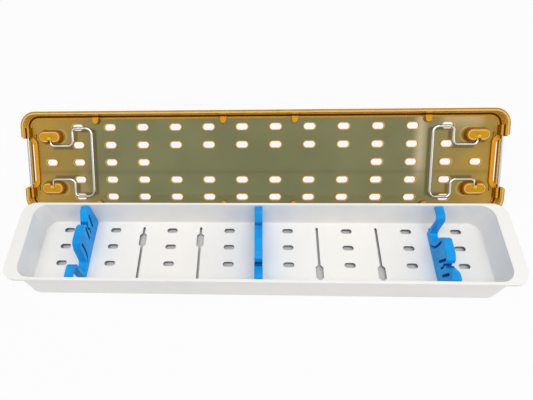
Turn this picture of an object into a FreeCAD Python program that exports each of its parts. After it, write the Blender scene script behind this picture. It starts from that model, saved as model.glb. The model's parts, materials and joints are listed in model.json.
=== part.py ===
import FreeCAD, Part
import math
import os

# Sterilization container for long instruments: a shallow white tray with three silicone
# holders keyed into its floor, and its transparent lid leaning behind it.
# Millimetres. Origin at the middle of the tray's underside, +X along the tray,
# +Y towards the lid, +Z up. The table is z = 0.

os.makedirs("parts", exist_ok=True)
Vector = FreeCAD.Vector

# Tray
tray_length = 480.0
tray_width = 85.0
tray_height = 38.6
tray_corner = 14.0
floor_thickness = 2.6
foot_height = 2.6
foot_width = 2.6
wall_thickness = 2.2
end_flange = 13.0
side_flange = 2.8
flange_thickness = 2.2
lip_drop = 1.1
lip_thickness = 1.5
wall_lean = 1.0
cavity_corner = 13.0
floor_fillet = 1.5
base_fillet = 5.0
flange_round = 0.8

# Drain holes in the tray's floor
drain_length = 11.0
drain_width = 5.4
drain_pitch_x = 60.5
drain_pitch_y = 19.2
drain_end_x = 201.4
drain_columns = 6
drain_rows = 4

# Keyhole slots in the tray's floor
slot_pitch = 60.5
holder_spacing = 176.0
slot_length = 66.0
slot_width = 2.5
entry_length = 15.5
entry_width = 7.4
entry_chamfer = 2.2
entry_offset = 17.5

# Silicone holders
holder_thickness = 7.8
holder_wall_gap = 0.5
lobe_height = 33.2
middle_lobe_height = 33.6
hook_height = 32.8
slit_offset = 20.5
slit_width = 0.9
funnel_depth = 9.0
funnel_width = 11.0
channel_depth = 6.4
channel_width = 2.2
tooth_step = 4.3
tooth_reach = 2.2
crown_offset = 12.0
saddle_floor = 6.0
saddle_slant = 7.0
key_length = 14.0
key_side_gap = 0.2
key_lift_gap = 0.1
foot_thickness = 1.1
relief_width = 3.0
relief_top = 5.8
relief_bottom = 19.2
relief_slant = 4.2
outer_relief = 10.0
inner_relief = 4.7
curve_width = 2.6
curve_offset = 2.4
hook_thickness = 3.0
hook_offset = 24.2

# Lid
lid_overhang_x = 11.3
lid_overhang_y = 11.25
lid_corner = 16.0
panel_thickness = 2.6
rim_height = 9.5
rim_thickness = 3.0
rim_round = 1.2
root_fillet = 2.6
root_depth = 1.2
skirt_height = 2.0
side_skirt = 3.0
end_skirt = 5.0
tab_length = 6.0
tab_thickness = 1.8
tab_gap = 0.6

# Holes in the lid's panel
vent_length = 11.8
vent_width = 6.2
vent_pitch_x = 35.2
vent_pitch_y = 18.57
vent_columns = 12
vent_rows = 5
blank_columns = 6
end_vent_inset = 27.3

# Notches, rods and their blocks at the lid's ends
notch_depth = 10.0
notch_mouth = 56.0
notch_bottom = 40.0
notch_corner = 4.0
notch_lip = 4.0
notch_lip_height = 3.0
notch_overrun = 5.0
rod_radius = 1.2
rod_inset = 4.2
rod_height = 3.2
rod_grip = 9.0
rod_fit = 0.05
rod_chamfer = 0.4
block_length = 10.5
block_width = 8.2
block_overlap = 1.5
block_inset = 0.4

# Bails and their bosses
wire_radius = 1.5
bail_pivot_inset = 28.8
bail_pivot_height = 3.0
bail_leg_y = 18.0
bail_shoulder_reach = 24.0
bail_half_width = 36.3
bail_grip_reach = 44.7
tip_bend = 3.5
leg_bend = 5.0
shoulder_bend = 4.0
grip_bend = 6.0
boss_length = 26.5
boss_width = 15.0
boss_height = 6.2
boss_offset = 27.4
boss_draft = 1.6
boss_round = 2.0
groove_width = 4.8
groove_length = 4.0
tip_bore_depth = 5.0
tip_end_gap = 0.4
tip_fit = 0.05

# Ribs along the lid's long sides
rib_width = 7.0
rib_length = 10.5
rib_height = 6.0
rib_round = 1.0
rib_inner_x = 37.0
rib_outer_x = 172.0

# Where the lid stands
lid_lean = 41.0
lid_gap = 4.4

# Worked out from the values above
reach = 50.0
half_turn = 180
floor_top = foot_height + floor_thickness
cavity_length = tray_length - 2 * end_flange
cavity_width = tray_width - 2 * side_flange
inner_depth = tray_height - floor_top
draft = inner_depth * math.tan(math.radians(wall_lean))
floor_length = cavity_length - 2 * draft
floor_width = cavity_width - 2 * draft
lid_length = tray_length + 2 * lid_overhang_x
lid_width = tray_width + 2 * lid_overhang_y
bail_pivot_x = lid_length / 2 - bail_pivot_inset
lid_low = panel_thickness + skirt_height


def rounded_wire(corners, place, closed=True):
    """A wire through (u, v, radius) corners, each corner rounded by an arc."""
    count = len(corners)
    points = [place(u, v) for u, v, radius in corners]
    entries = []
    for index in range(count):
        here = points[index]
        radius = corners[index][2]
        at_end = not closed and index in (0, count - 1)
        if radius <= 0 or at_end:
            entries.append((here, None, here))
            continue
        back = (points[index - 1] - here).normalize()
        ahead = (points[(index + 1) % count] - here).normalize()
        half = back.getAngle(ahead) / 2
        trim = radius / math.tan(half)
        middle = (back + ahead).normalize() * (radius / math.sin(half) - radius)
        entries.append((here + back * trim, here + middle, here + ahead * trim))
    edges = []
    for index, (start, middle, end) in enumerate(entries):
        if middle is not None:
            edges.append(Part.Arc(start, middle, end).toShape())
        if not closed and index == count - 1:
            break
        following = entries[(index + 1) % count][0]
        if end.distanceToPoint(following) > 1e-4:
            edges.append(Part.makeLine(end, following))
    return Part.Wire(edges)


def flat(height):
    """Place outline points in a level plane at the height."""
    return lambda u, v: Vector(u, v, height)


def rectangle(length, width, radius, height):
    half_x = length / 2
    half_y = width / 2
    corners = [(-half_x, -half_y, radius), (half_x, -half_y, radius),
               (half_x, half_y, radius), (-half_x, half_y, radius)]
    return rounded_wire(corners, flat(height))


def prism(wire, height):
    return Part.Face(wire).extrude(Vector(0, 0, height))


def plate(length, width, radius, bottom, top):
    return prism(rectangle(length, width, radius, bottom), top - bottom)


def obround(length, width, bottom, top):
    """A prism with half-round ends, its long side along X."""
    return plate(length, width, width / 2 - 0.001, bottom, top)


def moved(shape, x, y, z=0.0):
    result = shape.copy()
    result.translate(Vector(x, y, z))
    return result


def turned(shape, degrees):
    """The shape turned about the vertical line through the origin."""
    result = shape.copy()
    result.rotate(Vector(0, 0, 0), Vector(0, 0, 1), degrees)
    return result


def centred(count, pitch):
    """Positions of a row of equal steps about zero."""
    return [(index - (count - 1) / 2) * pitch for index in range(count)]


def edges_at(shape, height):
    """Edges that lie at one height."""
    found = []
    for edge in shape.Edges:
        box = edge.BoundBox
        if abs(box.ZMin - height) < 1e-4 and abs(box.ZMax - height) < 1e-4:
            found.append(edge)
    return found


def octagon(length, width, chamfer, bottom, top):
    """A prism with cut corners, its long side along Y."""
    half_x = width / 2
    half_y = length / 2
    points = [(-half_x, -half_y + chamfer), (-half_x + chamfer, -half_y),
              (half_x - chamfer, -half_y), (half_x, -half_y + chamfer),
              (half_x, half_y - chamfer), (half_x - chamfer, half_y),
              (-half_x + chamfer, half_y), (-half_x, half_y - chamfer)]
    wire = Part.makePolygon([Vector(x, y, bottom) for x, y in points + points[:1]])
    return prism(wire, top - bottom)


def tray_shell():
    """The drafted pan on its foot ring, with its flange, before the floor is pierced."""
    body_corner = cavity_corner + wall_thickness
    bottom = rectangle(floor_length + 2 * wall_thickness, floor_width + 2 * wall_thickness,
                       body_corner - draft, 0)
    top = rectangle(cavity_length + 2 * wall_thickness, cavity_width + 2 * wall_thickness,
                    body_corner, tray_height)
    body = Part.makeLoft([bottom, top], True, True)
    body = body.makeFillet(base_fillet, edges_at(body, 0))
    flange = plate(tray_length, tray_width, tray_corner,
                   tray_height - flange_thickness - lip_drop, tray_height)
    hollow = plate(tray_length - 2 * lip_thickness, tray_width - 2 * lip_thickness,
                   tray_corner - lip_thickness,
                   tray_height - flange_thickness - lip_drop, tray_height - flange_thickness)
    flange = flange.cut(hollow)
    flange = flange.makeFillet(flange_round, edges_at(flange, tray_height))
    floor = rectangle(floor_length, floor_width, cavity_corner - draft, floor_top)
    mouth = rectangle(cavity_length, cavity_width, cavity_corner, tray_height)
    cavity = Part.makeLoft([floor, mouth], True, True)
    cavity = cavity.makeFillet(floor_fillet, edges_at(cavity, floor_top))
    foot_inset = base_fillet + foot_width
    under = plate(floor_length + 2 * (wall_thickness - foot_inset),
                  floor_width + 2 * (wall_thickness - foot_inset),
                  body_corner - draft - foot_inset, -1, foot_height)
    return body.fuse(flange).cut([cavity, under]).removeSplitter()


def drains():
    """The floor's rows of half-round-ended drain holes."""
    cutter = obround(drain_length, drain_width, -1, floor_top + 1)
    columns = centred(drain_columns, drain_pitch_x) + [-drain_end_x, drain_end_x]
    rows = centred(drain_rows, drain_pitch_y)
    return [moved(cutter, x, y) for x in columns for y in rows]


def keyhole():
    """A narrow slot with a wide entry at +Y, through which a holder's foot goes in."""
    slot = turned(obround(slot_length, slot_width, -1, floor_top + 1), 90)
    entry = octagon(entry_length, entry_width, entry_chamfer, -1, floor_top + 1)
    return slot.fuse(moved(entry, 0, entry_offset))


def keyhole_places():
    """X of each keyhole, with the turn that puts its entry at the back or the front."""
    places = [(-holder_spacing, 0), (0, 0), (holder_spacing, half_turn)]
    for step in (1, 2):
        places.append((-step * slot_pitch, 0))
        places.append((step * slot_pitch, half_turn))
    return places


def tray_base():
    cutter = keyhole()
    keyholes = [moved(turned(cutter, turn), x, 0) for x, turn in keyhole_places()]
    return tray_shell().cut(drains() + keyholes)


def upright(u, v):
    """Place a holder's outline points: u along Y and v above the tray's floor."""
    return Vector(-holder_thickness / 2, u, floor_top + v)


def holder_plate(corners):
    """A plate of the holders' thickness with the outline, its middle at X = 0."""
    return Part.Face(rounded_wire(corners, upright)).extrude(Vector(holder_thickness, 0, 0))


def slot_along(points, width):
    """A cut of constant width that follows the points through a holder."""
    cutters = []
    for start, end in zip(points, points[1:]):
        along = Vector(0, end[0] - start[0], end[1] - start[1])
        side = Vector(0, -along.z, along.y).normalize() * (width / 2)
        first = upright(*start) - Vector(1, 0, 0)
        ring = [first + side, first - side, first - side + along, first + side + along]
        box = Part.Face(Part.makePolygon(ring + ring[:1])).extrude(Vector(holder_thickness + 2, 0, 0))
        cutters.append(box)
        for point in (start, end):
            centre = upright(*point) - Vector(1, 0, 0)
            cutters.append(Part.makeCylinder(width / 2, holder_thickness + 2, centre, Vector(1, 0, 0)))
    return cutters[0].fuse(cutters[1:])


def wall_at(height):
    """Half width of the cavity at a height above the floor, less the holders' gap."""
    return floor_width / 2 + height * math.tan(math.radians(wall_lean)) - holder_wall_gap


def end_lobe_corners():
    """Outline of the lobe beside the back wall, from the floor up and over to its slit."""
    return [(wall_at(0) - floor_fillet, 0, 0), (wall_at(floor_fillet), floor_fillet, 0),
            (wall_at(lobe_height), lobe_height, 3.0),
            (slit_offset + funnel_width, lobe_height, 5.0),
            (slit_offset + 2.5, lobe_height - 7.5, 3.0),
            (slit_offset + slit_width / 2, lobe_height - funnel_depth, 0)]


def crown_corners():
    """Outline from the slit's inner edge up onto the middle lobe."""
    return [(slit_offset - slit_width / 2, lobe_height - funnel_depth, 0),
            (slit_offset - 2.5, middle_lobe_height - 3, 2.0),
            (crown_offset, middle_lobe_height, 5.0)]


def clamp_cuts(side):
    """The slit between two lobes, its toothed channel and the two slanted relief slots."""
    centre = side * slit_offset
    top = lobe_height - channel_depth
    channel = [(centre, top), (centre - side * tooth_reach, top - tooth_step),
               (centre - side * 0.8, top - 2 * tooth_step),
               (centre - side * tooth_reach, top - 3 * tooth_step)]
    cuts = [slot_along([(centre, lobe_height + 2), channel[0]], slit_width),
            slot_along(channel, channel_width)]
    for offset in (outer_relief, -inner_relief):
        upper = (centre + side * offset, lobe_height - relief_top)
        lower = (centre + side * (offset - relief_slant), lobe_height - relief_bottom)
        cuts.append(slot_along([upper, lower], relief_width))
    return cuts


def key():
    """The neck and foot that hold a holder in its slot."""
    neck_width = slot_width - 2 * key_side_gap
    foot_width = entry_width - 4 * key_side_gap
    neck_bottom = foot_height - key_lift_gap
    neck = plate(neck_width, key_length, 0, neck_bottom, floor_top)
    foot = plate(foot_width, key_length, 0, neck_bottom - foot_thickness, neck_bottom)
    return neck.fuse(foot)


def saddle_corners():
    """Outline from the middle lobe down into the open saddle and up to the hook's neck."""
    return [(-3.6, middle_lobe_height, 5.0), (-8.0, middle_lobe_height - saddle_slant, 3.0),
            (-9.2, saddle_floor + 2 * saddle_slant, 4.0), (-11.8, saddle_floor + 2, 3.5),
            (1.5 - hook_offset, saddle_floor, 3.0), (-hook_offset, saddle_floor + saddle_slant, 4.0)]


def hook_corners():
    """Outline of the hook, a thin arm that bends over at the top towards the wall."""
    wall = wall_at(hook_height)
    under = hook_height - hook_thickness
    return [(-hook_offset, hook_height, 6.0), (-wall, hook_height, 1.2), (-wall, under, 1.2),
            (-hook_offset - hook_thickness, under, 3.5), (-hook_offset - hook_thickness, 0, 0)]


def scope_holder():
    """A holder with a clamp at the back, an open saddle and a hook at the front."""
    corners = end_lobe_corners() + crown_corners() + saddle_corners() + hook_corners()
    curve = [(-curve_offset, lobe_height - relief_top),
             (-curve_offset - 1.2, saddle_floor + 1.5 * saddle_slant),
             (-curve_offset - 4, saddle_floor + 3), (-curve_offset - 8.4, saddle_floor - 2)]
    return holder_plate(corners).cut(clamp_cuts(1) + [slot_along(curve, curve_width)]).fuse(key())


def left_holder():
    return moved(scope_holder(), -holder_spacing, 0)


def right_holder():
    return moved(turned(scope_holder(), half_turn), holder_spacing, 0)


def centre_holder():
    """The middle holder: an end lobe on each side of a broad lobe, with two clamps."""
    half = end_lobe_corners() + crown_corners()
    mirrored = [(-u, v, radius) for u, v, radius in reversed(half)]
    body = holder_plate(half + mirrored)
    return body.cut(clamp_cuts(1) + clamp_cuts(-1)).fuse(key())


def at_both_ends(shape):
    return [shape, turned(shape, half_turn)]


def notch_wire(grow, height):
    """Outline of the notch in the lid's +X end, grown by a margin."""
    outer = lid_length / 2 + notch_overrun
    inner = lid_length / 2 - notch_depth - grow
    slope = (notch_mouth - notch_bottom) / 2 / notch_depth
    mouth = notch_mouth / 2 + grow + notch_overrun * slope
    bottom = notch_bottom / 2 + grow
    corners = [(outer, -mouth, 0), (outer, mouth, 0),
               (inner, bottom, notch_corner + grow), (inner, -bottom, notch_corner + grow)]
    return rounded_wire(corners, flat(height))


def boss():
    """A drafted obround boss with the bore and groove for a bail's tip, mouth towards -Y."""
    foot = rectangle(boss_length, boss_width, boss_width / 2 - 0.001, -root_depth)
    crown_width = boss_width - 2 * boss_draft
    crown = rectangle(boss_length - 2 * boss_draft, crown_width, crown_width / 2 - 0.001, boss_height)
    body = Part.makeLoft([foot, crown], True, True)
    body = body.makeFillet(boss_round, edges_at(body, boss_height))
    mouth = boss_width / 2 + 1
    groove = Part.makeBox(groove_width, mouth - boss_width / 2 + groove_length, reach,
                          Vector(-groove_width / 2, -mouth, bail_pivot_height - groove_width / 2))
    bore = Part.makeCylinder(wire_radius + tip_fit, 1 + groove_length + tip_bore_depth,
                             Vector(0, -mouth, bail_pivot_height), Vector(0, 1, 0))
    return body.cut([groove, bore])


def rib_places():
    return (rib_inner_x, rib_outer_x, -rib_inner_x, -rib_outer_x)


def rib():
    """A drop-shaped rib that runs from the rim's wall onto the panel, tip towards -Y."""
    inner_wall = lid_width / 2 - rim_thickness
    body = turned(obround(2 * rib_length, rib_width, -root_depth, rib_height), 90)
    body = body.makeFillet(rib_round, edges_at(body, rib_height))
    body = moved(body, 0, inner_wall)
    return body.common(plate(reach, 2 * inner_wall + rim_thickness, 0, -root_depth, rib_height))


def vents():
    """The panel's holes: full rows, with the middle row bare at the centre."""
    cutter = obround(vent_length, vent_width, -reach, 1)
    cuts = []
    for y in centred(vent_rows, vent_pitch_y):
        for x in centred(vent_columns, vent_pitch_x):
            blank = abs(y) < vent_pitch_y / 2 and abs(x) < blank_columns / 2 * vent_pitch_x
            if not blank:
                cuts.append(moved(cutter, x, y))
    return cuts + at_both_ends(moved(cutter, lid_length / 2 - end_vent_inset, 0))


def lid_dish():
    """The panel with its raised rim."""
    blank = plate(lid_length, lid_width, lid_corner, -panel_thickness, rim_height)
    blank = blank.makeFillet(rim_round, edges_at(blank, rim_height))
    pocket = plate(lid_length - 2 * rim_thickness, lid_width - 2 * rim_thickness,
                   lid_corner - rim_thickness, 0, rim_height + 1)
    return blank.cut(pocket.makeFillet(root_fillet, edges_at(pocket, 0)))


def skirt():
    """The ridge under the lid's edge, which also bridges the notches behind the rods."""
    outer = plate(lid_length, lid_width, lid_corner, -lid_low, -panel_thickness)
    inner = plate(lid_length - 2 * end_skirt, lid_width - 2 * side_skirt, lid_corner - side_skirt,
                  -lid_low, -panel_thickness)
    return outer.cut(inner)


def tabs():
    """The tabs under the panel that place the lid round the tray's flange."""
    side = plate(tab_length, tab_thickness, 0, -lid_low, -panel_thickness)
    side_y = tray_width / 2 + tab_gap + tab_thickness / 2
    end_x = tray_length / 2 + tab_gap + tab_thickness / 2
    places = []
    for x in rib_places():
        places.append(moved(side, x, side_y))
        places.append(moved(side, x, -side_y))
    for y in (-boss_offset, boss_offset):
        places += at_both_ends(moved(turned(side, 90), end_x, y))
    return places


def rod_x():
    return lid_length / 2 - rod_inset


def rod_half_length():
    return notch_mouth / 2 + rod_grip


def rod_block():
    """The block beside the notch that takes one end of a grip rod."""
    start = notch_mouth / 2 - block_overlap
    body = plate(block_width, block_length, 0, -root_depth, rim_height - rim_round)
    return moved(body, lid_length / 2 - block_width / 2 - block_inset, start + block_length / 2)


def flipped(shape):
    """The shape mirrored from +Y to -Y."""
    return shape.mirror(Vector(0, 0, 0), Vector(0, 1, 0))


def lid_flat():
    """The lid lying flat, its panel's outer face at z = 0."""
    lip = prism(notch_wire(notch_lip, -root_depth), notch_lip_height + root_depth)
    lip = lip.common(plate(lid_length - 1, lid_width, lid_corner, -root_depth, notch_lip_height))
    near_boss = moved(boss(), bail_pivot_x, boss_offset)
    end_parts = [lip, near_boss, flipped(near_boss), rod_block(), flipped(rod_block())]
    side_parts = []
    for x in rib_places():
        side_parts.append(moved(rib(), x, 0))
        side_parts.append(flipped(moved(rib(), x, 0)))
    added = side_parts
    for shape in end_parts:
        added += at_both_ends(shape)
    bore_length = 2 * rod_half_length()
    bore = Part.makeCylinder(rod_radius + rod_fit, bore_length,
                             Vector(rod_x(), -bore_length / 2, rod_height), Vector(0, 1, 0))
    notch = prism(notch_wire(0, -reach), 2 * reach)
    cuts = vents() + at_both_ends(notch) + at_both_ends(bore)
    pierced = lid_dish().fuse(added).cut(cuts)
    return pierced.fuse([skirt()] + tabs()).removeSplitter()


def grip_rod():
    """The +X rod, with rounded ends, held in its two blocks."""
    half = rod_half_length() - tip_end_gap
    rod = Part.makeCylinder(rod_radius, 2 * half, Vector(rod_x(), -half, rod_height), Vector(0, 1, 0))
    return rod.makeChamfer(rod_chamfer, [edge for edge in rod.Edges if edge.Closed])


def bail():
    """The +X bail lying folded on the panel, bent from one length of wire."""
    tip_y = boss_offset - boss_width / 2 + groove_length + tip_bore_depth - tip_end_gap
    shoulder_x = bail_pivot_x - bail_shoulder_reach
    half = [(bail_pivot_x, tip_y, 0), (bail_pivot_x, bail_leg_y, tip_bend),
            (shoulder_x, bail_leg_y, leg_bend), (shoulder_x, bail_half_width, shoulder_bend),
            (bail_pivot_x - bail_grip_reach, bail_half_width, grip_bend)]
    corners = half + [(x, -y, radius) for x, y, radius in reversed(half)]
    path = rounded_wire(corners, flat(bail_pivot_height), closed=False)
    section = Part.Wire(Part.makeCircle(wire_radius, Vector(bail_pivot_x, tip_y, bail_pivot_height),
                                        Vector(0, -1, 0)))
    return path.makePipeShell([section], True, False)


def stood(shape):
    """The shape moved from the flat lid to the lid that leans behind the tray."""
    lean = math.radians(lid_lean)
    middle_y = tray_width / 2 + lid_gap + lid_width / 2 * math.cos(lean) + rim_height * math.sin(lean)
    middle_z = lid_width / 2 * math.sin(lean) + lid_low * math.cos(lean)
    result = shape.copy()
    result.rotate(Vector(0, 0, 0), Vector(1, 0, 0), lid_lean)
    result.translate(Vector(0, middle_y, middle_z))
    return result


def main():
    nodes = {
        "tray_base": tray_base(),
        "left_holder": left_holder(),
        "centre_holder": centre_holder(),
        "right_holder": right_holder(),
        "lid_shell": stood(lid_flat()),
        "left_grip_rod": stood(turned(grip_rod(), half_turn)),
        "right_grip_rod": stood(grip_rod()),
        "left_bail": stood(turned(bail(), half_turn)),
        "right_bail": stood(bail()),
    }
    for name, shape in nodes.items():
        shape.exportStep("parts/" + name + ".step")
        print(name, len(shape.Solids), "solids", round(shape.Volume), "mm3", shape.isValid())


main()
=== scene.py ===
import json
import math

import bpy
from mathutils import Matrix, Vector


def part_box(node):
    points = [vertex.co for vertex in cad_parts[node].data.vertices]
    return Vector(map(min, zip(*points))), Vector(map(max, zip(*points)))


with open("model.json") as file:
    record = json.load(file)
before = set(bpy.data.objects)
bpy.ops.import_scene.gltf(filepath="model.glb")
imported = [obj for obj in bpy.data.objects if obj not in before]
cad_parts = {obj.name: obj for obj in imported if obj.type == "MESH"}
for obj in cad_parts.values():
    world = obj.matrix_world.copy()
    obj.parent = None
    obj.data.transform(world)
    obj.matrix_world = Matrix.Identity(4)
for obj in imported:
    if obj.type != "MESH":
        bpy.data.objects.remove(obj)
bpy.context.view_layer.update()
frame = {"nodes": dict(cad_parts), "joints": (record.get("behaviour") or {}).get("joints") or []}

# Sterilization container: a white tray with blue silicone holders and a transparent amber
# lid leaning behind it. Metres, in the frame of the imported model.

# Camera, from the photograph's picture of the tray and the lid
CAMERA_PLACE = Vector((-0.00025, -0.19823, 0.41066))
CAMERA_RIGHT = Vector((0.99867, 0.02965, -0.04208))
CAMERA_UP = Vector((-0.00298, 0.84944, 0.52768))
CAMERA_LENS = 29.907
CAMERA_SHIFT = (0.0581, 0.0204)
SENSOR_WIDTH = 36.0

# Floor and light
FLOOR_RADIUS = 6.0
FLOOR_COLOUR = (0.70, 0.70, 0.70)
BACKGROUND_SHARE = 0.93
SHADE_BEHIND_TRAY = 0.03
SHADE_FADE = (0.02, 0.008)
SKY_STRENGTH = 0.60
SKY_COLOUR = (1.0, 0.985, 0.96)
TOP_LAMP = {"place": (0.0, -0.40, 1.6), "size": (1.5, 0.8), "power": 12.0}
SIDE_LAMP = {"place": (1.9, -0.2, 0.75), "size": (1.0, 1.0), "power": 6.5}

# Soft edges of painted areas, the middle of the noise's own range, and the share of a normal
# along an axis below which its face counts as edge on to that axis
SOFT_EDGE = 0.0003
NOISE_RANGE = (0.3, 0.7)
CLOUD_RANGE = (0.35, 0.65)
EDGE_ON = 0.4
EDGE_ON_SOFT = 0.1

# Tray: the half length, half width and top of its hollow, and of the floor inside the fillets
HOLLOW_HALF = (0.2266, 0.0393)
HOLLOW_TOP = 0.0370
FLOOR_HALF = (0.2202, 0.0342)
FLOOR_TOP = 0.0052

# Holders: heights above the table and places across the tray
SLOT_TOP = 0.0325
SLOT_REACH = (0.008, 0.034)
CURVE_REACH = (-0.0066, -0.0004)

# Lid: its sizes in its own axes, from the middle of its panel's face
PIVOT_HEIGHT = 0.003
LID_HALF = (0.2513, 0.05375)
LID_CORNER = 0.016
RIM_CREST = 0.0080
RIM_FOOT = 0.0079
HOLE_PITCH = (0.0352, 0.01857)
HOLE_SIZE = (0.0118, 0.0062)
HOLE_FIELD = 0.2112
BLANK_REACH = 0.1056
END_HOLE = 0.224
RING_WIDTH = 0.0009
RING_TOP = 0.0003
RING_FOOT = -0.001
RAISED_LEVEL = 0.0005
BOSS_MIDDLE = (0.2225, 0.0274)
BOSS_SIZE = (0.0265, 0.0150)
BOSS_REFLECTION_SHIFT = (-0.003, 0.0006)
TIP_OFFSET = -0.0015
TIP_SIZE = (0.0038, 0.0034)
TIP_REACH = 0.0017

# Bails, folded on the lid: distances from its middle, and the dark painted reflection of their wire on
# the panel
BAIL_GRIP = 0.1778
BAIL_SHOULDER = 0.1985
BAIL_LEG = 0.018
BAIL_SIDE = 0.0363
WIRE_ASIDE = 0.0025
WIRE_REFLECTION_FADE = (0.0004, 0.0026)
WIRE_REFLECTION_SHARE = 0.6

# Colours of the tray, the holders and the steel, as they are seen, with painted light inside the tray and
# painted shade in the floor's holes, in the holders' slots and at the wire's edges
TRAY_WHITE = (0.895, 0.892, 0.882)
TRAY_SHADE = (0.870, 0.867, 0.857)
INSIDE_PAINTED_LIGHT = (0.950, 0.930, 0.892)
INSIDE_PAINTED_LIGHT_DIM = (0.928, 0.908, 0.868)
HOLE_WALL_PAINTED_SHADE = (0.14, 0.15, 0.18)
HOLDER_BLUE = (0.003, 0.37, 0.89)
HOLDER_DEEP = (0.002, 0.29, 0.77)
HOLDER_SLOT_PAINTED_SHADE = (0.002, 0.13, 0.48)
STEEL_BRIGHT = (0.86, 0.86, 0.87)
STEEL_PAINTED_EDGE_SHADE = (0.07, 0.07, 0.08)
STEEL_TURN = (0.12, 0.66)

# Colours of the lid's panel: amber, painted olive by painted shade in the middle and gold by painted
# light at the ends, with painted reflections and painted shade
PANEL_OLIVE_PAINTED_SHADE = (0.228, 0.224, 0.096)
PANEL_DEEP = (0.135, 0.138, 0.055)
PANEL_GOLD_PAINTED_LIGHT = (0.500, 0.300, 0.040)
PANEL_SHADE = (0.050, 0.048, 0.016)
PANEL_PAINTED_REFLECTION = (0.74, 0.62, 0.40)
HOLE_RING = (0.96, 0.46, 0.002)

# Colours of the lid's rim, ribs and bosses, with painted highlights and painted shade among them
CREST_BROWN = (0.60, 0.24, 0.015)
RIM_PAINTED_HIGHLIGHT = (0.97, 0.68, 0.20)
RIM_AMBER = (1.0, 0.53, 0.006)
ROOT_PAINTED_SHADE = (0.070, 0.012, 0.001)
ROOT_YELLOW = (0.90, 0.43, 0.002)
RIB_ORANGE = (0.88, 0.36, 0.002)
RAISED_GOLD = (0.62, 0.30, 0.008)
SIDE_BROWN_PAINTED_SHADE = (0.42, 0.13, 0.001)
BOSS_PAINTED_GLINT = (0.98, 0.74, 0.26)
TIP_YELLOW = (1.0, 0.72, 0.02)

# Lid: how clear its panel and its thick parts are, and how squarely a top face looks out
PANEL_CLEAR = 0.90
THICK_CLEAR = 0.35
TOP_FACE = (0.80, 0.97)
# Panel: how far from its middle the olive of painted shade turns to the gold of painted light, and its
# darker clouds
GOLD_RANGE = (0.158, 0.224)
GOLD_DRIFT = 0.012
PANEL_CLOUDS = (0.35, 0.70)
PANEL_CLOUD_SHARE = 0.35
# Pale painted reflections in streaks: middle and half width along the lid, height where each starts and
# is full, strength
PANEL_REFLECTION_STREAKS = ((0.167, 0.004, -0.034, 0.006, 0.75),
                 (-0.190, 0.001, 0.006, -0.020, 0.40),
                 (0.208, 0.020, 0.028, 0.045, 0.45))
REFLECTION_STREAK_SOFT = 0.006
# A dark painted reflection across the panel: its heights, soft edge and strength
DARK_REFLECTION_LINE = (-0.0118, -0.0092)
DARK_REFLECTION_SOFT = 0.0025
DARK_REFLECTION_SHARE = 0.28
# Rim: distance inside the edge where each colour starts, after the crest's brown: a painted highlight,
# the amber, a dark line of painted shade at the root, and the yellow
RIM_BANDS = ((0.0015, RIM_PAINTED_HIGHLIGHT), (0.0031, RIM_AMBER), (0.0043, ROOT_PAINTED_SHADE), (0.0063, ROOT_YELLOW))
# Boss: distance from its outline, inwards negative, where each colour starts, and its strength: painted
# shade round its foot, its dark rim, a painted highlight line, then gold
BOSS_BANDS = ((0.0006, PANEL_SHADE, 0.55), (-0.0001, SIDE_BROWN_PAINTED_SHADE, 1.0),
              (-0.0026, BOSS_PAINTED_GLINT, 1.0), (-0.0033, RAISED_GOLD, 1.0))
BOSS_REFLECTION_BAND = (-0.0005, 0.0001)
BOSS_REFLECTION_SHARE = 0.55


def lid_stand():
    """The lid's middle on its panel's face, and its axis up the lean."""
    joints = {joint["name"]: joint for joint in frame["joints"]}
    left = joints["left_bail_swing"]
    right = joints["right_bail_swing"]
    along = Vector(right["axis"]).normalized()
    normal = Vector((1.0, 0.0, 0.0)).cross(along)
    pivot = (Vector(left["pos_m"]) + Vector(right["pos_m"])) / 2
    return pivot - normal * PIVOT_HEIGHT, along


def new_material(name, **values):
    """A material with one Principled shader and its constant values."""
    material = bpy.data.materials.new(name)
    material.use_nodes = True
    shader = material.node_tree.nodes["Principled BSDF"]
    for key, value in values.items():
        shader.inputs[key.replace("_", " ")].default_value = value
    return material, shader


def add_node(owner, kind, inputs=(), **settings):
    """A node with its settings; inputs maps a socket's name or number to a value or a socket."""
    node = owner.node_tree.nodes.new(kind)
    for key, value in settings.items():
        setattr(node, key, value)
    for key, value in dict(inputs).items():
        if isinstance(value, bpy.types.NodeSocket):
            link(owner, value, node.inputs[key])
        else:
            node.inputs[key].default_value = value
    return node


def link(owner, source, target):
    owner.node_tree.links.new(source, target)


def object_place(material):
    return add_node(material, "ShaderNodeTexCoord").outputs["Object"]


def separate(material, vector):
    return add_node(material, "ShaderNodeSeparateXYZ", {0: vector}).outputs


def noise(material, scale, detail=3.0):
    """A noise value of the scale, in steps per metre."""
    inputs = {"Vector": object_place(material), "Scale": scale, "Detail": detail}
    return add_node(material, "ShaderNodeTexNoise", inputs).outputs["Fac"]


def math_node(material, operation, first, second=0.0):
    return add_node(material, "ShaderNodeMath", {0: first, 1: second}, operation=operation).outputs[0]


def absolute(material, value):
    return math_node(material, "ABSOLUTE", value)


def times(material, first, *factors):
    for factor in factors:
        first = math_node(material, "MULTIPLY", first, factor)
    return first


def highest(material, first, *values):
    for value in values:
        first = math_node(material, "MAXIMUM", first, value)
    return first


def diagonal(material, first, second):
    """The root of the two values' squares added up."""
    squares = [times(material, value, value) for value in (first, second)]
    return math_node(material, "SQRT", math_node(material, "ADD", *squares))


def remap(material, value, low, high, to_low=0.0, to_high=1.0, smooth=True):
    """The value's range low to high, carried over to another range."""
    kind = "SMOOTHSTEP" if smooth else "LINEAR"
    inputs = {"Value": value, "From Min": low, "From Max": high, "To Min": to_low, "To Max": to_high}
    return add_node(material, "ShaderNodeMapRange", inputs, interpolation_type=kind).outputs[0]


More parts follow.
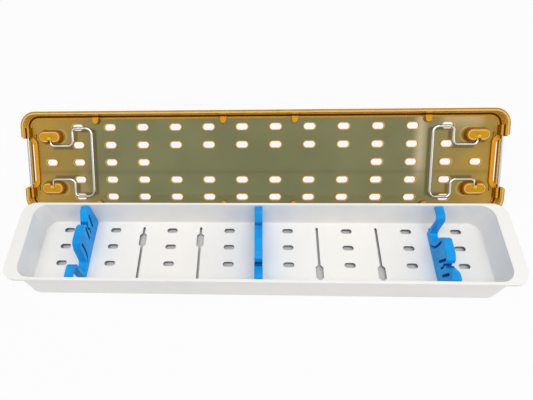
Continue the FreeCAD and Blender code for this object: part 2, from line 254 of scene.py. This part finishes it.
def above(material, value, limit, soft=SOFT_EDGE):
    """1 where the value is past the limit, with a soft step."""
    return remap(material, value, limit - soft, limit + soft)


def below(material, value, limit, soft=SOFT_EDGE):
    """1 where the value hasn't reached the limit, with a soft step."""
    return remap(material, value, limit - soft, limit + soft, 1.0, 0.0)


def between(material, value, low, high, soft=SOFT_EDGE):
    """1 where the value lies between the two limits, with a soft step at each."""
    return times(material, above(material, value, low, soft), below(material, value, high, soft))


def edge_on(material, normal):
    """1 on faces edge on to the axis that the normal's part belongs to."""
    return below(material, absolute(material, normal), EDGE_ON, EDGE_ON_SOFT)


def mix_colours(material, factor, first, second):
    node = add_node(material, "ShaderNodeMix", data_type="RGBA")
    for index, value in ((0, factor), (6, first), (7, second)):
        if isinstance(value, bpy.types.NodeSocket):
            link(material, value, node.inputs[index])
        elif index == 0:
            node.inputs[index].default_value = value
        else:
            node.inputs[index].default_value = (*value, 1.0)
    return node.outputs[2]


def uneven_roughness(material, shader, scale, low, high, detail=3.0):
    """Roughness that wanders between two values, in steps of the scale."""
    value = noise(material, scale, detail)
    link(material, remap(material, value, *NOISE_RANGE, low, high), shader.inputs["Roughness"])


def fine_relief(material, shader, scale, strength, depth):
    """A faint uneven skin."""
    height = noise(material, scale, 2.0)
    node = add_node(material, "ShaderNodeBump",
                    {"Height": height, "Strength": strength, "Distance": depth})
    link(material, node.outputs["Normal"], shader.inputs["Normal"])


def tray_hollow(material, place):
    """1 on the tray's inside, below its flange, where it is painted lighter and warmer as painted light.
    """
    return times(material, below(material, absolute(material, place["X"]), HOLLOW_HALF[0]),
                 below(material, absolute(material, place["Y"]), HOLLOW_HALF[1]),
                 below(material, place["Z"], HOLLOW_TOP))


def floor_hole_walls(material, place, normal):
    """1 on the walls of the drain holes and keyhole slots, where shade is painted."""
    return times(material, edge_on(material, normal["Z"]),
                 below(material, place["Z"], FLOOR_TOP - SOFT_EDGE),
                 below(material, absolute(material, place["X"]), FLOOR_HALF[0]),
                 below(material, absolute(material, place["Y"]), FLOOR_HALF[1]))


def tray_plastic():
    """Glossy white moulded plastic, painted lighter and warmer inside as painted light, with painted
    shade on the walls of the floor's holes.
    """
    material, shader = new_material("tray_plastic", IOR=1.49, Coat_Weight=0.15, Coat_Roughness=0.12)
    texture = add_node(material, "ShaderNodeTexCoord").outputs
    place = separate(material, texture["Object"])
    normal = separate(material, texture["Normal"])
    cloud = remap(material, noise(material, 14.0), *CLOUD_RANGE)
    outside = mix_colours(material, cloud, TRAY_SHADE, TRAY_WHITE)
    # Painted light: the inside is painted lighter and warmer than the outside.
    inside = mix_colours(material, cloud, INSIDE_PAINTED_LIGHT_DIM, INSIDE_PAINTED_LIGHT)
    skin = mix_colours(material, tray_hollow(material, place), outside, inside)
    # Painted shade: the walls of the floor's holes are painted dark grey.
    hole_wall_shade = floor_hole_walls(material, place, normal)
    link(material, mix_colours(material, hole_wall_shade, skin, HOLE_WALL_PAINTED_SHADE), shader.inputs["Base Color"])
    uneven_roughness(material, shader, 60.0, 0.28, 0.38)
    fine_relief(material, shader, 900.0, 0.05, 0.0004)
    return material


def slot_walls(material, clamp):
    """1 on the walls of a holder's slots, where shade is painted, for clamps at +Y (1), at -Y (-1) or at
    both sides (0).
    """
    texture = add_node(material, "ShaderNodeTexCoord").outputs
    place = separate(material, texture["Object"])
    normal = separate(material, texture["Normal"])
    edgewise = edge_on(material, normal["X"])
    under_lobes = below(material, place["Z"], SLOT_TOP - 0.001, 0.001)
    if clamp == 0:
        inside = between(material, absolute(material, place["Y"]), *SLOT_REACH)
    else:
        across = times(material, place["Y"], float(clamp))
        inside = highest(material, between(material, across, *SLOT_REACH),
                         between(material, across, *CURVE_REACH))
    return times(material, edgewise, under_lobes, inside)


def holder_silicone(name, clamp):
    """Satin blue silicone, a little deeper in the blue in places, with painted shade darkening the inside
    of its slots.
    """
    material, shader = new_material(name, Specular_IOR_Level=0.18, Subsurface_Weight=0.08,
                                    Subsurface_Scale=0.002)
    cloud = remap(material, noise(material, 55.0), *CLOUD_RANGE)
    skin = mix_colours(material, cloud, HOLDER_DEEP, HOLDER_BLUE)
    # Painted shade: the slots' walls are painted navy.
    link(material, mix_colours(material, slot_walls(material, clamp), skin, HOLDER_SLOT_PAINTED_SHADE),
         shader.inputs["Base Color"])
    uneven_roughness(material, shader, 240.0, 0.36, 0.5)
    fine_relief(material, shader, 1500.0, 0.08, 0.0003)
    return material


def steel_wire():
    """Bright drawn steel, with painted shade that darkens it towards the edges it turns to the view, for
    a round wire's look.
    """
    material, shader = new_material("steel_wire", Metallic=1.0)
    facing = add_node(material, "ShaderNodeLayerWeight", {"Blend": 0.5}).outputs["Facing"]
    wander = remap(material, noise(material, 160.0, 2.0), *NOISE_RANGE, -0.02, 0.02)
    # Painted shade at the edges the wire turns away from the view.
    edge_shade = remap(material, math_node(material, "ADD", facing, wander), *STEEL_TURN)
    link(material, mix_colours(material, edge_shade, STEEL_BRIGHT, STEEL_PAINTED_EDGE_SHADE), shader.inputs["Base Color"])
    uneven_roughness(material, shader, 300.0, 0.16, 0.24, 2.0)
    fine_relief(material, shader, 400.0, 0.02, 0.0001)
    return material


def lid_places(material, middle, along):
    """Places along, across and above the lid's panel, and how far a face looks out of it."""
    lean = math.atan2(along.z, along.y)
    texture = add_node(material, "ShaderNodeTexCoord").outputs
    centred = add_node(material, "ShaderNodeVectorMath", {0: texture["Object"], 1: middle},
                       operation="SUBTRACT")
    laid = []
    for source in (centred.outputs[0], texture["Normal"]):
        turned = add_node(material, "ShaderNodeVectorRotate",
                          {"Vector": source, "Axis": (1.0, 0.0, 0.0), "Angle": -lean},
                          rotation_type="AXIS_ANGLE")
        laid.append(separate(material, turned.outputs[0]))
    return laid[0]["X"], laid[0]["Y"], laid[0]["Z"], laid[1]["Z"]


def edge_inset(material, a, b):
    """How far a place lies inside the lid's rounded outline."""
    beyond = [math_node(material, "SUBTRACT", absolute(material, value), half - LID_CORNER)
              for value, half in zip((a, b), LID_HALF)]
    inside = math_node(material, "MINIMUM", highest(material, *beyond), 0.0)
    outside = [highest(material, value, 0.0) for value in beyond]
    distance = math_node(material, "ADD", diagonal(material, *outside), inside)
    return math_node(material, "SUBTRACT", LID_CORNER, distance)


def reach_from(material, a, b, middle, size):
    """Distance from the middle line of a shape with half-round ends, its long side along a."""
    aside = absolute(material, math_node(material, "SUBTRACT", a, middle[0]))
    past_line = math_node(material, "SUBTRACT", aside, (size[0] - size[1]) / 2)
    across = math_node(material, "SUBTRACT", b, middle[1])
    return diagonal(material, highest(material, past_line, 0.0), across)


def panel_colour(material, a, b):
    """Amber painted olive by painted shade in the middle and gold by painted light at the ends, with soft
    clouds, pale painted reflections and a dark painted reflection line.
    """
    # Painted shade in the middle of the panel gives way to painted light at its ends.
    drift = remap(material, noise(material, 7.0, 2.0), *NOISE_RANGE, -GOLD_DRIFT, GOLD_DRIFT, False)
    from_middle = math_node(material, "ADD", absolute(material, a), drift)
    colour = mix_colours(material, remap(material, from_middle, *GOLD_RANGE), PANEL_OLIVE_PAINTED_SHADE, PANEL_GOLD_PAINTED_LIGHT)
    cloud = remap(material, noise(material, 16.0, 2.0), *PANEL_CLOUDS, 0.0, PANEL_CLOUD_SHARE)
    colour = mix_colours(material, cloud, colour, PANEL_DEEP)
    # Painted reflections: pale streaks across the panel.
    for middle, half, start, full, share in PANEL_REFLECTION_STREAKS:
        band = between(material, a, middle - half, middle + half, REFLECTION_STREAK_SOFT)
        height = remap(material, b, start, full, 0.0, share)
        colour = mix_colours(material, times(material, band, height), colour, PANEL_PAINTED_REFLECTION)
    # Painted reflection: a soft dark line across the panel.
    line = times(material, between(material, b, *DARK_REFLECTION_LINE, DARK_REFLECTION_SOFT), DARK_REFLECTION_SHARE)
    return mix_colours(material, line, colour, PANEL_SHADE)


def line_distance(material, a, b, start, end):
    """Distance from a straight line along or across the lid, moved aside by WIRE_ASIDE."""
    parts = []
    for value, first, last in zip((a, b), start, end):
        off = math_node(material, "SUBTRACT", value, (first + last) / 2 - WIRE_ASIDE)
        past = math_node(material, "SUBTRACT", absolute(material, off), (last - first) / 2)
        parts.append(highest(material, past, 0.0))
    return diagonal(material, *parts)


def painted_wire_reflection(material, a, b):
    """The soft dark line on the panel along the inner side of each folded bail, a painted reflection of
    its wire where it lies folded.
    """
    a = absolute(material, a)
    b = absolute(material, b)
    runs = (((BAIL_GRIP, 0.0), (BAIL_GRIP, BAIL_SIDE)),
            ((BAIL_GRIP, BAIL_SIDE), (BAIL_SHOULDER, BAIL_SIDE)),
            ((BAIL_SHOULDER, BAIL_LEG), (BAIL_SHOULDER, BAIL_SIDE)),
            ((BAIL_SHOULDER, BAIL_LEG), (BOSS_MIDDLE[0], BAIL_LEG)))
    lines = [remap(material, line_distance(material, a, b, *run), *WIRE_REFLECTION_FADE, 1.0, 0.0) for run in runs]
    return times(material, highest(material, *lines), WIRE_REFLECTION_SHARE)


def hole_ring(material, a, b):
    """1 on the panel close round each of its holes."""
    pitch_x, pitch_y = HOLE_PITCH
    from_middle = absolute(material, a)
    column = add_node(material, "ShaderNodeMath", {0: a, 1: pitch_x, 2: 0.0}, operation="WRAP")
    row = add_node(material, "ShaderNodeMath", {0: b, 1: pitch_y / 2, 2: -pitch_y / 2}, operation="WRAP")
    rings = []
    for along, middle in ((column.outputs[0], pitch_x / 2), (from_middle, END_HOLE)):
        reach = reach_from(material, along, row.outputs[0], (middle, 0.0), HOLE_SIZE)
        rings.append(below(material, reach, HOLE_SIZE[1] / 2 + RING_WIDTH))
    middle_row = below(material, absolute(material, b), pitch_y / 2 - SOFT_EDGE)
    blank = times(material, middle_row, below(material, from_middle, BLANK_REACH - SOFT_EDGE))
    field = times(material, rings[0], below(material, from_middle, HOLE_FIELD),
                  math_node(material, "SUBTRACT", 1.0, blank))
    ends = times(material, rings[1], above(material, from_middle, HOLE_FIELD), middle_row)
    return highest(material, field, ends)


def rim_colour(material, inset, c):
    """The bands along the lid's edge, from outside to the panel: the thick clear plastic's own colours,
    with a painted highlight and a dark line of painted shade.
    """
    colour = CREST_BROWN
    for start, shade in RIM_BANDS:
        colour = mix_colours(material, above(material, inset, start), colour, shade)
    outer_face = times(material, below(material, inset, RIM_BANDS[0][0] + SOFT_EDGE, 0.0004),
                       below(material, c, RIM_CREST, 0.0004))
    return mix_colours(material, outer_face, colour, RIM_AMBER)


def boss_colours(material, colour, a, b):
    """Each boss: gold with a painted highlight line inside its dark rim, painted shade round its foot,
    and its pale painted reflection beside it.
    """
    a = absolute(material, a)
    b = absolute(material, b)
    outline = BOSS_SIZE[1] / 2
    # The boss's pale painted reflection, shifted beside it.
    reflection_middle = (BOSS_MIDDLE[0] + BOSS_REFLECTION_SHIFT[0], BOSS_MIDDLE[1] + BOSS_REFLECTION_SHIFT[1])
    reach = reach_from(material, a, b, reflection_middle, BOSS_SIZE)
    low, high = BOSS_REFLECTION_BAND
    band = between(material, reach, outline + low, outline + high)
    colour = mix_colours(material, times(material, band, BOSS_REFLECTION_SHARE), colour, BOSS_PAINTED_GLINT)
    reach = reach_from(material, a, b, BOSS_MIDDLE, BOSS_SIZE)
    # Painted shade round the boss, its dark rim, and a painted highlight line on its top.
    for offset, shade, share in BOSS_BANDS:
        inside = times(material, below(material, reach, outline + offset), share)
        colour = mix_colours(material, inside, colour, shade)
    tip = (BOSS_MIDDLE[0], BOSS_MIDDLE[1] + TIP_OFFSET)
    reach = reach_from(material, a, b, tip, TIP_SIZE)
    return mix_colours(material, below(material, reach, TIP_REACH, 0.0004), colour, TIP_YELLOW)


def lid_plastic(middle, along):
    """Transparent amber plastic, seen deeper in colour where it is thick or edge on, with painted shade
    darkening its edge-on sides, and painted highlights, reflections and shade on its rim, bosses and
    panel.
    """
    material, shader = new_material("lid_plastic", Roughness=0.06, IOR=1.55, Specular_IOR_Level=0.08)
    a, b, c, out = lid_places(material, middle, along)
    inset = edge_inset(material, a, b)
    panel = mix_colours(material, painted_wire_reflection(material, a, b), panel_colour(material, a, b), PANEL_SHADE)
    # Edge-on sides of raised parts: partly the amber deepening through thick plastic, partly painted
    # shade.
    raised = mix_colours(material, remap(material, out, *TOP_FACE), SIDE_BROWN_PAINTED_SHADE, RIB_ORANGE)
    high = above(material, c, RAISED_LEVEL, 0.0002)
    colour = boss_colours(material, mix_colours(material, high, panel, raised), a, b)
    at_rim = below(material, inset, RIM_FOOT)
    colour = mix_colours(material, at_rim, colour, rim_colour(material, inset, c))
    edgewise = edge_on(material, out)
    round_holes = highest(material, edgewise, hole_ring(material, a, b))
    ring = times(material, below(material, c, RING_TOP, 0.0001), round_holes)
    # The hole walls below the panel get the same partly painted shade.
    edging = mix_colours(material, below(material, c, RING_FOOT, 0.0004), HOLE_RING, SIDE_BROWN_PAINTED_SHADE)
    link(material, mix_colours(material, ring, colour, edging), shader.inputs["Base Color"])
    thick = highest(material, high, ring, at_rim)
    link(material, remap(material, thick, 0.0, 1.0, PANEL_CLEAR, THICK_CLEAR, False),
         shader.inputs["Transmission Weight"])
    fine_relief(material, shader, 35.0, 0.12, 0.0006)
    return material


def dress(material, *nodes):
    """Gives a material to CAD nodes, in place of the ones they came with."""
    for name in nodes:
        slots = frame["nodes"][name].data.materials
        slots.clear()
        slots.append(material)


def away_from_tray(material):
    """BACKGROUND_SHARE on the open floor, and nothing under the tray, where its own shade is left."""
    low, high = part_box("tray_base")
    high = high + Vector((0.0, SHADE_BEHIND_TRAY, 0.0))
    half = (high - low) / 2
    centred = add_node(material, "ShaderNodeVectorMath", {0: object_place(material), 1: (low + high) / 2},
                       operation="SUBTRACT")
    place = separate(material, centred.outputs[0])
    start, full = SHADE_FADE
    shares = [remap(material, absolute(material, place[axis]), reach - start, reach - full)
              for axis, reach in (("X", half.x), ("Y", half.y))]
    return times(material, highest(material, *shares), BACKGROUND_SHARE)


def background_mix(material, surface):
    """Shows the surface mixed with plain white to the camera and in gloss and glass."""
    path = add_node(material, "ShaderNodeLightPath").outputs
    seen = highest(material, path["Is Camera Ray"], path["Is Glossy Ray"], path["Is Transmission Ray"])
    share = times(material, away_from_tray(material), seen)
    white = add_node(material, "ShaderNodeEmission")
    mixed = add_node(material, "ShaderNodeMixShader", {0: share, 1: surface, 2: white.outputs[0]})
    link(material, mixed.outputs[0], material.node_tree.nodes["Material Output"].inputs["Surface"])


def floor():
    bpy.ops.object.select_all(action="DESELECT")
    bpy.ops.mesh.primitive_circle_add(vertices=64, radius=FLOOR_RADIUS, fill_type="NGON")
    disc = bpy.context.object
    disc.name = "floor"
    material, shader = new_material("floor_paint", Base_Color=(*FLOOR_COLOUR, 1.0), Roughness=0.9)
    background_mix(material, shader.outputs[0])
    disc.data.materials.append(material)


def surroundings():
    """A soft sky that lights the object, seen by the camera as plain white."""
    world = bpy.data.worlds.new("studio")
    bpy.context.scene.world = world
    world.use_nodes = True
    sky = world.node_tree.nodes["Background"]
    sky.inputs["Strength"].default_value = SKY_STRENGTH
    sky.inputs["Color"].default_value = (*SKY_COLOUR, 1.0)
    white = add_node(world, "ShaderNodeBackground", {"Color": (1.0, 1.0, 1.0, 1.0)})
    path = add_node(world, "ShaderNodeLightPath").outputs
    mixed = add_node(world, "ShaderNodeMixShader",
                     {0: path["Is Camera Ray"], 1: sky.outputs[0], 2: white.outputs[0]})
    link(world, mixed.outputs[0], world.node_tree.nodes["World Output"].inputs["Surface"])


def soft_lamp(name, place, size, power):
    """A square or oblong lamp that looks at the middle of the floor."""
    light = bpy.data.lights.new(name, "AREA")
    light.shape = "RECTANGLE"
    light.size, light.size_y = size
    light.energy = power
    lamp = bpy.data.objects.new(name, light)
    bpy.context.scene.collection.objects.link(lamp)
    lamp.location = place
    lamp.rotation_euler = (-Vector(place)).to_track_quat("-Z", "Y").to_euler()


def camera():
    data = bpy.data.cameras.new("camera")
    data.sensor_width = SENSOR_WIDTH
    data.lens = CAMERA_LENS
    data.shift_x, data.shift_y = CAMERA_SHIFT
    data.clip_start = 0.01
    holder = bpy.data.objects.new("camera", data)
    bpy.context.scene.collection.objects.link(holder)
    back = CAMERA_RIGHT.cross(CAMERA_UP).normalized()
    turn = Matrix((CAMERA_RIGHT, CAMERA_UP, back)).transposed()
    holder.matrix_world = Matrix.Translation(CAMERA_PLACE) @ turn.to_4x4()
    bpy.context.scene.camera = holder


def main():
    dress(tray_plastic(), "tray_base")
    for side, clamp in (("left", 1), ("centre", 0), ("right", -1)):
        dress(holder_silicone(side + "_silicone", clamp), side + "_holder")
    dress(lid_plastic(*lid_stand()), "lid_shell")
    dress(steel_wire(), "left_bail", "right_bail", "left_grip_rod", "right_grip_rod")
    floor()
    surroundings()
    soft_lamp("top_lamp", **TOP_LAMP)
    soft_lamp("side_lamp", **SIDE_LAMP)
    camera()
    bpy.context.scene.view_settings.view_transform = "Standard"


main()
